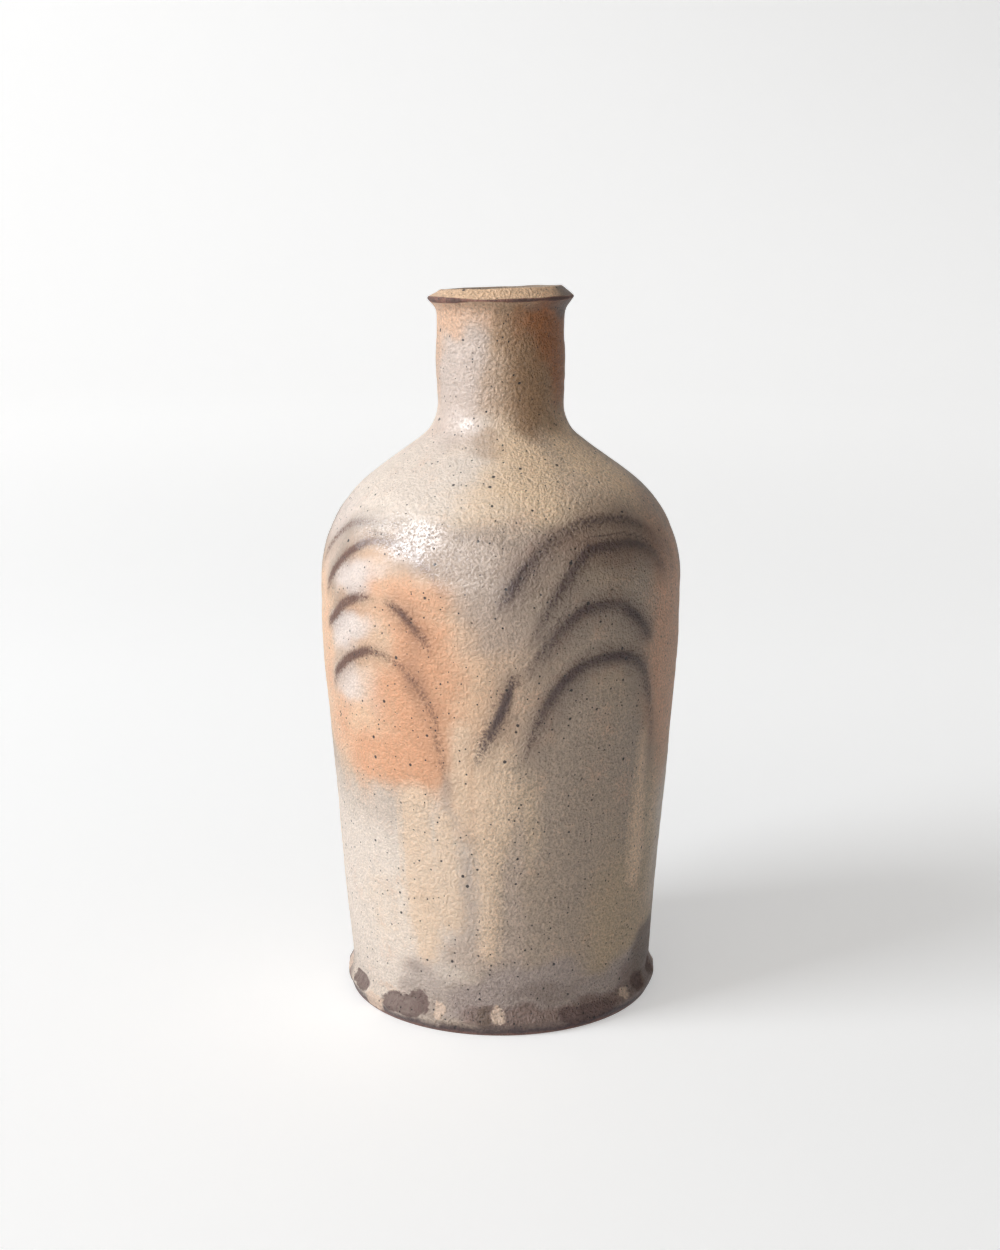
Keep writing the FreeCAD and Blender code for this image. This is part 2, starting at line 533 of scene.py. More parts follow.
def strokes(drawn_strokes):
    """How far inside the nearest of some strokes, in mm. Each point has a half width."""
    inside = np.full(len(turn), -FAR)
    for stroke in drawn_strokes:
        line = drawn(stroke)
        middle = line[:, 0].mean()
        reach = np.ptp(line[:, 0]) / 2 + line[:, 2].max() + FAR
        near = (np.abs(apart(turn, middle)) < reach) & on_outside
        near &= (up > line[:, 1].min() - line[:, 2].max() - FAR)
        near &= (up < line[:, 1].max() + line[:, 2].max() + FAR)
        near = np.flatnonzero(near)
        distance, along = beside(line, near)
        half = np.interp(along, np.arange(len(line)), line[:, 2])
        inside[near] = np.maximum(inside[near], half - np.abs(distance))
    return inside


# The wiped arches: a potter's fingers drawn through the wet slip, nested and left to
# right over the top. Each point is a turn, a height and how dark the line is there.
ARCHES_RIGHT = [
    [(-3, 142, 0), (-1, 146, 0.3), (1, 149, 0.75), (4, 154, 1), (8, 159, 0.85),
     (13, 163.5, 0.7), (18, 166.5, 0.6), (26, 169.5, 0.7), (35, 170.5, 0.8),
     (45, 170, 0.8), (55, 167, 0.6), (61, 162, 0.3), (66, 156, 0)],
    [(7, 130, 0), (9, 135, 0.3), (11, 140, 0.5), (14, 146, 0.7), (18, 152, 0.85),
     (22, 157, 0.9), (27, 161.5, 0.95), (33, 163, 1), (42, 163, 0.9), (50, 162, 0.9),
     (57, 158, 0.65), (61, 153, 0.35), (64, 146, 0)],
    [(5, 119, 0), (7, 124, 0.3), (9, 128, 0.5), (12, 132, 0.7), (15, 136, 0.8),
     (20, 141, 0.9), (25, 144.5, 1), (31, 145.5, 0.9), (38, 145, 0.8), (43, 142, 1),
     (48, 138, 1), (52, 133, 0.8), (54, 129, 0)],
    [(6, 92, 0), (7.5, 98, 0.3), (9.5, 105, 0.6), (12.5, 113, 0.85), (17, 120, 1),
     (22, 125, 1), (28, 127.7, 0.9), (35, 128.5, 1), (42, 127.6, 1),
     (48, 124, 0.9), (52, 118, 0.75), (55, 110, 0.6), (57.5, 102, 0.45),
     (59, 90, 0.25), (59, 80, 0)],
]
ARCHES_LEFT = [
    [(-80, 149, 0), (-75, 156, 0.6), (-70, 161, 0.75), (-64, 165.5, 0.75),
     (-58, 167.5, 0.65), (-50, 168.5, 0.45), (-42, 169, 0.2), (-36, 168.5, 0)],
    [(-71, 140, 0), (-69, 146, 0.8), (-66, 150, 1.1), (-62, 154, 1.15),
     (-57, 158, 1.15), (-52, 161, 1.1), (-47, 163, 0.9), (-38, 163.5, 0.7),
     (-30, 162, 0.5), (-24, 158, 0.5), (-20, 154, 0.3), (-16, 147, 0)],
    [(-69, 130, 0), (-67, 134, 1), (-63, 137, 1.25), (-58, 141.3, 1.25),
     (-52, 144.2, 1.1), (-46, 145.8, 0.7), (-41, 145.5, 0.2), (-37, 145.5, 0.3),
     (-34, 144.5, 0.8), (-30, 142, 1), (-27, 139, 0.9), (-23, 134.5, 0.7),
     (-20, 128, 0)],
    [(-67, 110, 0), (-64, 117, 0.9), (-60, 120.5, 1.25), (-55, 124, 1.25),
     (-50, 126.5, 1.2), (-45, 128.5, 1), (-40, 128.5, 0.6), (-35, 127, 0.45),
     (-30, 124, 0.5), (-26, 120, 0.55), (-22, 114, 0.5), (-20, 108, 0.45),
     (-19, 100, 0.45), (-17, 90, 0.35), (-15, 78, 0)],
]
TICK = [
    [(-9.5, 91, 0), (-8, 96, 0.35), (-5.5, 102, 0.75), (-1.5, 110, 1), (1.5, 118, 1),
     (2.8, 123, 0.6), (3.2, 126, 0)],
]

# Which arches are drawn where, the last four out of the photograph's sight: how far
# each panel is turned, lifted and stretched, how near its inner smoke counts as, and
# how red the fire made its lines
PANELS = [
    (ARCHES_RIGHT, 0, 0, 1.0, 0.6, 0),
    (ARCHES_LEFT, 0, 0, 1.0, 0.95, 1),
    (TICK, 0, 0, 1.0, 0.9, 0),
    (ARCHES_RIGHT, 82, -2, 0.96, 0.7, 0.5),
    (ARCHES_LEFT, 227, 1, 1.03, 0.95, 1),
    (ARCHES_RIGHT, 215, -1, 1.0, 0.6, 0),
    (TICK, 215, -3, 1.0, 0.9, 0),
]
PANEL_REACH = 46
PANEL_BOTTOM = 70
PANEL_TOP = 186
DARKEST = 0.7  # mm that the darkest part lies inside a drawn line


def wiped(panels):
    """How far each vertex is from the nearest line, in mm, its darkness and redness.

    Smoke hangs on the inner side of an arch, so distances are made less there.
    """
    side = np.full(len(turn), float(FAR))
    dark = np.zeros(len(turn))
    red = np.zeros(len(turn))
    for arches, shift, lift, wide, inner, redness in panels:
        middle = np.mean([point[0] for arch in arches for point in arch])
        near = (np.abs(apart(turn, middle + shift)) < PANEL_REACH * wide) & on_outside
        near = np.flatnonzero(near & (up > PANEL_BOTTOM) & (up < PANEL_TOP))
        for arch in arches:
            line = drawn(arch)
            line[:, 0] = middle + shift + (line[:, 0] - middle) * wide
            line[:, 1] += lift
            distance, along = beside(line, near)
            distance -= DARKEST
            distance[distance > 0] *= inner
            closer = np.abs(distance) < np.abs(side[near])
            side[near[closer]] = distance[closer]
            share = np.interp(along[closer], np.arange(len(line)), line[:, 2])
            dark[near[closer]] = share
            red[near[closer]] = redness
    return side, dark, red


def paint(name, values):
    """Keeps one number for each vertex, for the glaze to read."""
    skin_mesh.attributes.new(name, "FLOAT", "POINT").data.foreach_set("value", values)


line_side, line_dark, line_red = wiped(PANELS)
line_reach = np.abs(line_side)
paint("line_side", line_side)
paint("line_reach", line_reach)
paint("line_dark", line_dark)
paint("line_red", line_red)

# Runs of pale ash glaze, each a line of turns, heights and half widths
ASH_RUNS = [
    [(-29, 80, 6), (-28, 60, 7), (-27, 42, 7), (-27, 28, 4.4)],
    [(-19, 74, 4), (-18, 55, 5), (-17, 40, 4.6)],
    [(-3, 96, 7), (-1, 82, 8), (-4, 62, 4.4), (-4, 44, 3.6), (-4, 29, 3.1)],
    [(-12, 104, 4), (-13, 88, 4), (-11, 76, 3)],
    [(52, 98, 1.6), (53, 82, 3), (53, 64, 4.4), (54, 50, 4.6)],
    [(95, 84, 8), (98, 60, 7), (97, 40, 4.4)],
    [(120, 90, 5), (121, 70, 4), (121, 34, 3.2)],
    [(160, 76, 9), (163, 55, 8), (162, 38, 5)],
    [(183, 80, 6), (184, 60, 4.4), (184, 28, 3.6)],
    [(214, 82, 9), (216, 55, 7), (215, 44, 5)],
    [(247, 70, 6), (247, 50, 5), (247, 33, 4)],
    [(270, 60, 5), (271, 42, 4.4), (271, 26, 3.4)],
]
ash_run = strokes(ASH_RUNS)
paint("ash_run", ash_run)

# Soft patches of each colour: turn, height, half width, half height, strength
PATCHES = {
    "cream": [
        (-53, 40, 55, 65, 0.92), (-19, 43, 21, 39, 0.96), (-62, 186, 54, 29, 1),
        (-17, 184, 38, 23, 0.99), (-17, 90, 16, 30, 0.59), (-100, 60, 40, 50, 0.73),
        (-130, 186, 60, 28, 0.9), (91, 62, 39, 44, 0.83), (150, 186, 50, 24, 0.7),
        (166, 60, 30, 40, 0.8), (215, 60, 24, 36, 0.6), (-48, 108, 10, 10, 0.2),
    ],
    "gold": [
        (10, 189, 32, 17, 0.74), (2, 175, 36, 13, 0.56), (32, 177, 34, 17, 0.4),
        (60, 186, 35, 23, 1), (4, 75, 15, 29, 0.51), (120, 184, 46, 18, 0.8),
        (-160, 180, 30, 14, 0.6), (34, 121, 12, 6, 0.3), (-44, 40, 24, 26, 0.25),
        (-30, 192, 14, 6, 0.3), (65, 70, 8, 30, 0.3), (20, 186, 12, 6, 0.27),
        (-24, 40, 10, 14, 0.2), (11.5, 190, 20, 6, 0.18),
    ],
    "tan": [
        (54, 36, 32, 44, 1), (65, 80, 20, 54, 0.87), (40, 112, 22, 22, 0.19),
        (30.5, 154.5, 25.5, 7.5, 0.24), (190, 60, 26, 50, 0.8), (120, 40, 24, 30, 0.6),
        (10, 150, 16, 16, 0.15), (30, 60, 20, 40, 0.14),
    ],
    "pink": [
        (71, 125, 28, 66, 0.99), (66, 104, 12, 20, 0.39), (196, 130, 18, 40, 0.7),
        (66, 150, 12, 24, 0.44), (50, 136, 10, 12, 0.08), (74, 100, 10, 30, 0.3),
    ],
    "peach": [
        (-29, 115, 58, 46, 0.83), (-16, 112, 14, 44, 0.89), (-52, 99, 34, 22, 0.84),
        (-74, 128, 16, 48, 0.79), (-35, 151, 34, 21, 0.82), (-9, 84, 12, 26, 0.63),
        (138, 118, 50, 46, 0.8), (228, 114, 46, 44, 0.9), (-50, 106, 14, 12, 0.4),
        (-12, 100, 8, 16, 0.3), (-40, 112, 8, 10, 0.3), (-70, 140, 8, 20, 0.3),
        (-8, 96, 6, 14, 0.2),
    ],
    "blush": [
        (-40, 93, 28, 16, 0.95), (-25, 107, 18, 26, 0.87), (-27, 131, 16, 26, 0.94),
        (-42, 150, 22, 9, 0.57), (-20, 148, 16, 10, 0.49), (-66, 96, 14, 12, 0.35),
        (-40, 112, 22, 14, 0.43), (-46, 137.5, 22, 8, 0.38), (-72, 122, 9, 34, 0.31),
        (138, 112, 34, 30, 0.8), (222, 98, 32, 18, 0.95), (240, 128, 22, 30, 0.7),
        (-64, 108, 10, 16, 0.36), (-14, 120, 8, 24, 0.32), (-52, 88, 14, 6, 0.24),
        (-60, 104, 8, 12, 0.16), (-30, 98, 12, 8, 0.2), (-46, 90, 10, 5, 0.3),
        (-30, 92, 10, 6, 0.3), (-24, 118, 6, 14, 0.3), (-62, 98, 7, 10, 0.19),
        (-30, 150, 10, 6, 0.17), (-46, 95, 20, 8, 0.5), (-36, 112, 10, 20, 0.45),
    ],
    "white": [
        (-53.5, 149.5, 15, 8.5, 1), (-45.5, 154.5, 13.5, 5, 0.54), (-56, 134.5, 15.5, 6, 1),
        (-58, 130, 10.5, 8.5, 0.92), (-49, 136.5, 14, 5.5, 0.56), (-57, 116, 14, 11, 0.69),
        (-49.5, 118, 14, 8, 0.4), (-73, 165, 23, 13, 0.67), (-70, 150.5, 8, 10, 0.39),
        (214, 152, 22, 10, 0.8), (216, 131, 18, 11, 0.8), (214, 112, 16, 12, 0.6),
        (-44, 112, 10, 10, 0.2), (-36, 156, 12, 6, 0.19), (-54, 152, 8, 5, 0.2),
        (-60, 132, 8, 5, 0.2), (-54, 114, 8, 6, 0.21),
    ],
    "mauve": [
        (-4, 154, 23, 21, 0.92), (-1, 139, 14, 16, 0.75), (-26, 160, 22, 10, 0.5),
        (6, 163, 14, 11, 0.54), (-10.5, 48.5, 8, 26, 0.79), (-17, 82, 4, 16, 0.72),
        (-9, 28, 22, 11, 0.78), (-80, 84, 10, 16, 0.43), (4, 54.5, 6.5, 44, 0.7),
        (170, 152, 26, 20, 0.8), (106, 140, 14, 20, 0.5), (130, 30, 20, 14, 0.6),
        (-22, 195, 10, 5, 0.48), (-38, 190, 8, 5, 0.2), (41, 178, 23, 8, 0.42),
        (-76, 88, 8, 10, 0.3), (26, 110, 14, 14, 0.25), (-44, 72, 14, 8, 0.32),
        (46, 205, 14, 10, 0.2), (-28, 163, 18, 11, 0.74),
    ],
    "smoke": [
        (39, 166, 31, 16, 0.54), (64, 157, 16, 15, 0.66), (22, 164.5, 19, 7, 0.44),
        (8.5, 159, 14.5, 8, 0.33), (116, 163, 30, 11, 0.8), (262, 160, 24, 12, 0.4),
        (-34, 163, 18, 6, 0.24), (34.5, 158, 18, 5, 0.33), (14, 150, 8, 8, 0.36),
        (50, 130, 10, 14, 0.4), (20, 134, 12, 6, 0.21), (-26.5, 126, 7.5, 24, 0.45),
        (62, 90, 8, 24, 0.31), (52, 160, 14, 10, 0.11), (34, 150, 10, 6, 0.26),
        (12, 160, 8, 6, 0.1), (-26, 164, 15, 9, 0.31), (-30, 140, 8, 8, 0.2),
        (-24, 112, 7, 12, 0.2), (-60, 138, 10, 3.5, 0.15), (-58, 122, 10, 3.5, 0.15),
        (-60, 154, 9, 3.5, 0.15), (-14, 158, 9, 8, 0.3), (-3, 156, 10, 8, 0.14),
    ],
    "gloss": [
        (-32, 165, 26, 12, 1), (-14, 158, 22, 14, 0.8), (-50, 166, 18, 9, 0.7),
        (-6, 150, 20, 16, 0.4), (-40, 212, 44, 34, 0.5), (-34, 194, 40, 12, 0.3),
        (130, 163, 30, 14, 0.8), (240, 165, 24, 12, 0.8),
    ],
    "neck_pale": [
        (-48, 210, 50, 34, 0.97), (-28, 221, 22, 16, 0.55), (-150, 210, 40, 30, 0.5),
        (-44, 198, 26, 10, 0.4), (-4, 206, 12, 20, 0.25),
    ],
    "neck_olive": [
        (29, 213, 36, 26, 1), (63, 207, 29, 21, 0.42), (-11, 191.5, 18.5, 6.5, 0.53),
        (150, 208, 60, 24, 0.6), (4, 228, 21, 14, 0.66), (52, 196.5, 19.5, 6, 0.18),
        (36, 218, 12, 14, 0.3),
    ],
    "neck_red": [
        (45, 230, 29, 21, 0.86), (68, 221, 27, 29, 0.88), (22, 231, 20, 8.5, 0.45),
        (120, 226, 60, 14, 0.61), (70, 222, 10, 16, 0.42), (34, 231, 20, 5, 0.32),
        (58, 226, 14, 8, 0.3),
    ],
    "neck_warm": [
        (-62, 231, 50, 9, 0.93), (-16, 232, 26, 7, 0.58), (-120, 228, 60, 12, 0.7),
        (-60, 196, 30, 6, 0.12), (-74, 214, 12, 26, 0.39), (0, 218, 12, 16, 0.15),
        (-68, 222, 20, 10, 0.4), (-8, 228, 14, 6, 0.19),
    ],
    "rim_smoke": [
        (74, 237, 36, 9, 0.95), (36, 235, 30, 3, 0.5), (110, 238, 40, 9, 0.6),
        (200, 238, 40, 8, 0.4),
    ],
    "foot_mauve": [
        (-30, 16, 17, 13, 0.51), (-9, 11, 18, 12, 0.82), (12, 14, 26, 17, 0.93),
        (38, 11, 22, 11, 0.71), (63, 14, 30, 17, 0.86), (100, 14, 26, 14, 0.8),
        (140, 12, 30, 14, 0.8), (184, 15, 34, 15, 0.9), (-134, 14, 34, 14, 0.9),
        (-92, 9, 20, 9, 0.7), (-64.5, 7.5, 15.5, 8, 0.28),
    ],
    "foot_brown": [
        (-27.5, 7.5, 10.5, 5.5, 0.47), (-5.5, 5.5, 16.5, 6.5, 0.7),
        (15.5, 5, 28.5, 6.5, 0.87), (41, 4, 28, 9, 0.91), (64, 10, 25, 16, 0.89),
        (83, 8, 21, 10, 0.82), (-85, 4, 18.5, 6, 0.73), (120, 6, 30, 8, 0.9),
        (170, 6, 34, 9, 0.9), (-140, 6, 34, 9, 0.9), (-104, 5, 20, 7, 0.7),
        (-35.5, 13.5, 11, 6, 0.33),
    ],
    "foot_dark": [
        (17, 14, 25, 7.5, 0.42), (70, 19, 19, 16, 0.85), (-6, 6.5, 5, 5.5, 0.85),
        (62.5, 8.5, 11, 7.5, 0.78), (-33, 20, 8, 8, 0.25), (180, 12, 20, 9, 0.6),
        (-128, 10, 20, 8, 0.6), (8.5, 3, 20, 4, 0.29), (60, 22, 10, 8, 0.19),
        (42, 8, 12, 5, 0.2),
    ],
    "bare_foot": [
        (-39.5, 6, 16, 5.5, 0.98), (-31.5, 10.5, 7, 6, 0.79), (-65.5, 6.5, 11, 4, 1),
        (36, 5, 16.5, 4, 1), (26.5, 6, 8, 4, 0.7), (62, 8.5, 9, 5, 0.89),
        (104, 7, 18, 6, 1), (146, 7, 16, 6, 0.9), (-168, 6, 20, 6, 0.9),
        (-136, 8, 14, 7, 0.9), (-108, 6, 12, 5, 0.8), (78.5, 8, 9, 6, 0.65),
    ],
    "dabs": [
        (-23, 7.5, 3, 3.5, 1), (-1, 7.5, 4.5, 5.5, 0.9), (-53, 3.5, 9.5, 4.5, 0.98),
        (52, 6.5, 5, 3.5, 0.61), (-47.5, 10.5, 8, 3.5, 0.61), (-86, 6, 8, 4.5, 0.8),
        (90, 6, 4, 4, 0.8), (160, 6, 5, 4, 0.9), (-152, 6, 4, 4, 0.8),
    ],
}
for name, spots in PATCHES.items():
    paint(name, patches(spots))

# The edge of the lip is bare: from which radius and which height
LIP_RADIUS = (23.1 * MM, 23.8 * MM)
LIP_HEIGHT = (230, 234)
lip = smooth_share(np.hypot(places[:, 0], places[:, 1]), *LIP_RADIUS)
paint("lip_edge", lip * smooth_share(up, *LIP_HEIGHT) * clear)

# Relief of the marks: a ridge along each line, a shallow finger groove between lines,
# thick ash runs and low bare clay, each with the numbers between which it comes in
LINE_RIDGE = 0.14 * MM
RIDGE_EDGE = (0.4, 2.8)
GROOVE = 0.16 * MM
GROOVE_EDGE = (2.0, 5.0)
PANEL_EDGE = (5.5, FAR)
RUN_THICKNESS = 0.28 * MM
RUN_RISE = (-0.8, 1.8)
BARE_DEPTH = 0.35 * MM
BARE_FALL = (0.35, 0.75)
ABOVE_SOLE = (1, 3)
bare_foot = patches(PATCHES["bare_foot"])
ridge = line_dark * (1 - smooth_share(line_reach, *RIDGE_EDGE))
in_panel = (1 - smooth_share(line_reach, *PANEL_EDGE)) * clear
relief = LINE_RIDGE * ridge
relief -= GROOVE * in_panel * smooth_share(line_reach, *GROOVE_EDGE)
relief += RUN_THICKNESS * smooth_share(ash_run, *RUN_RISE) * clear
relief -= BARE_DEPTH * smooth_share(bare_foot, *BARE_FALL) * smooth_share(up, *ABOVE_SOLE)
places += normals * relief[:, None]
skin_mesh.vertices.foreach_set("co", places.ravel())
skin_mesh.update()

# Glaze: bare stoneware that the fire toasted, with wood ash melted over it. Colours
# are the fired clay's own, and the patches above say where each one lies.
TAUPE = (0.494, 0.383, 0.301, 1)
CREAM = (0.901, 0.774, 0.673, 1)
GOLD = (0.94, 0.695, 0.475, 1)
TAN = (0.562, 0.419, 0.284, 1)
PINK = (0.77, 0.438, 0.277, 1)
PEACH = (0.911, 0.607, 0.405, 1)
ORANGE = (0.82, 0.42, 0.238, 1)
WHITE = (0.89, 0.771, 0.709, 1)
MAUVE = (0.581, 0.448, 0.365, 1)
SMOKE = (0.287, 0.153, 0.093, 1)
RUN_CREAM = (0.909, 0.675, 0.488, 1)
LINE_BROWN = (0.09, 0.053, 0.045, 1)
LINE_RED = (0.14, 0.058, 0.032, 1)
NECK_TAN = (0.624, 0.438, 0.303, 1)
NECK_PALE = (0.686, 0.555, 0.481, 1)
NECK_OLIVE = (0.411, 0.248, 0.139, 1)
NECK_RED = (0.42, 0.161, 0.056, 1)
NECK_WARM = (0.777, 0.502, 0.343, 1)
FOOT_MAUVE = (0.459, 0.367, 0.327, 1)
FOOT_BROWN = (0.255, 0.174, 0.144, 1)
FOOT_DARK = (0.183, 0.122, 0.089, 1)
BARE_BROWN = (0.165, 0.103, 0.092, 1)
DAB_CREAM = (0.799, 0.603, 0.473, 1)
BASE_BROWN = (0.06, 0.027, 0.03, 1)
BASE_RED = (0.3, 0.14, 0.1, 1)
LIP_RED = (0.3, 0.13, 0.085, 1)
LIP_BROWN = (0.12, 0.075, 0.065, 1)
RIM_TAN = (0.9, 0.6, 0.38, 1)
RIM_SMOKE = (0.17, 0.115, 0.09, 1)
IRON_SPECK = (0.02, 0.014, 0.012, 1)
INSIDE_BROWN = (0.36, 0.27, 0.2, 1)
GLAZE_IOR = 1.6
GLAZE_SHEEN = (0.84, 0.92, 1, 1)
COAT_IOR = 1.9
COAT_ROUGHNESS = 0.2

# Noises, from the broadest: wavelength in mm, octaves and sharpness. The streaks of ash
# are drawn out upwards.
BROAD = (34, 3.0, 0.5)
MOTTLE = (9, 3.0, 0.5)
FLECK = (3.4, 2.0, 0.5)
PEBBLE = (1.4, 3.0, 0.6)
GRAIN = (0.8, 2.0, 0.65)
STREAK = (1.1, 2.0, 0.5)
STREAK_STRETCH = (24, 24, 1)
NOISE_GAIN = 2.6

# Heights in mm between which a change comes in
NECK_STARTS = (188, 202)
BASE_BAND = (1.6, 4.8)
RED_BAND = (0.5, 1.5)
BEVEL_STARTS = (236.2, 237.6)
SMOOTH_ABOVE_FOOT = (8, 30)

# Patches in the order in which they lie: colour, painted name, the numbers between
# which it comes in, the most that it covers, and how ragged its edge is
BODY_PATCHES = (
    (CREAM, "cream", 0, 1, 1, 1),
    (GOLD, "gold", 0, 1, 1, 1),
    (PINK, "pink", 0, 1, 0.9, 1),
    (PEACH, "peach", 0, 1, 1, 1),
    (ORANGE, "blush", 0, 1.1, 1, 1.9),
    (WHITE, "white", 0, 1.15, 1, 1),
    (MAUVE, "mauve", 0, 1, 0.9, 1),
    (SMOKE, "smoke", 0.1, 1.1, 0.85, 1),
)
NECK_PATCHES = (
    (NECK_PALE, "neck_pale", 0, 1, 1, 1),
    (NECK_WARM, "neck_warm", 0, 1, 1, 1),
    (NECK_OLIVE, "neck_olive", 0, 1, 1, 1),
    (NECK_RED, "neck_red", 0, 1, 1, 1),
)
FOOT_PATCHES = (
    (FOOT_MAUVE, "foot_mauve", 0.1, 0.8, 1, 1),
    (FOOT_BROWN, "foot_brown", 0.1, 0.9, 1, 1),
    (FOOT_DARK, "foot_dark", 0.15, 0.9, 1, 1),
)
RIM_PATCHES = ((RIM_SMOKE, "rim_smoke", 0.1, 1, 0.9, 1),)

# Painted numbers, some in mm, between which each mark comes in
RUN_EDGE = (-1.8, 2.2)
CORE_FADE = (0.0, 2.6)
CORE_END = (2.6, 3.6)
HALO_FADE = (0.5, 7.2)
BARE_EDGE = (0.34, 0.56)
DAB_EDGE = (0.35, 0.65)
LIP_RED_EDGE = (0.3, 0.9)
LIP_BROWN_EDGE = (0.75, 1.1)
INSIDE_EDGE = (0.2, 0.8)
GLOSS_EDGE = (0.15, 0.9)
GLINT_EDGE = (-0.4, 0.5)

# How much each mark covers: the core and the smoky halo of a line first where they
# are cold brown, then where they are red
CORE_COVERS = (0.56, 0.66)
HALO_COVERS = (0.44, 0.3)
RUN_COVERS = 0.8
BASE_COVERS = 0.9
BARE_COVERS = 0.82
RED_COVERS = 0.7
DAB_COVERS = 0.85
BEVEL_COVERS = 0.85
LIP_COVERS = 0.9
SPECK_COVERS = 0.95

# Iron specks: the cell that holds one at most in mm, the share of cells that do, the
# smallest and largest radius in mm, and the seed
SMALL_SPECKS = (1.9, 0.42, 0.2, 0.37, 0.11)
LARGE_SPECKS = (4.2, 0.38, 0.32, 0.64, 0.47)
SPECK_RIM = (0.75, 1.1)
SPECK_RAGGED = 0.12

# The grain's strength in the colour and the bumps, on sandy clay and under pale glaze
GRAIN_SHOWS = (1.7, 0.8)
GRAIN_BUMPS = (1.16, 0.89)
NECK_PALE_SHARE = 0.6
FLECK_SHADE = 0.08
STREAK_SHADE = 0.05
ROUGH_DRY = 0.5
ROUGH_GLOSSY = 0.13
ROUGH_BARE = 0.3

# Bumps in mm
PEBBLE_BUMP = 0.27
NECK_PEBBLES = 0.12
FOOT_PEBBLES = 0.16
GLOSS_LEVELS = 0.35
SPECK_PIT = 0.06
STREAK_BUMP = 0.01


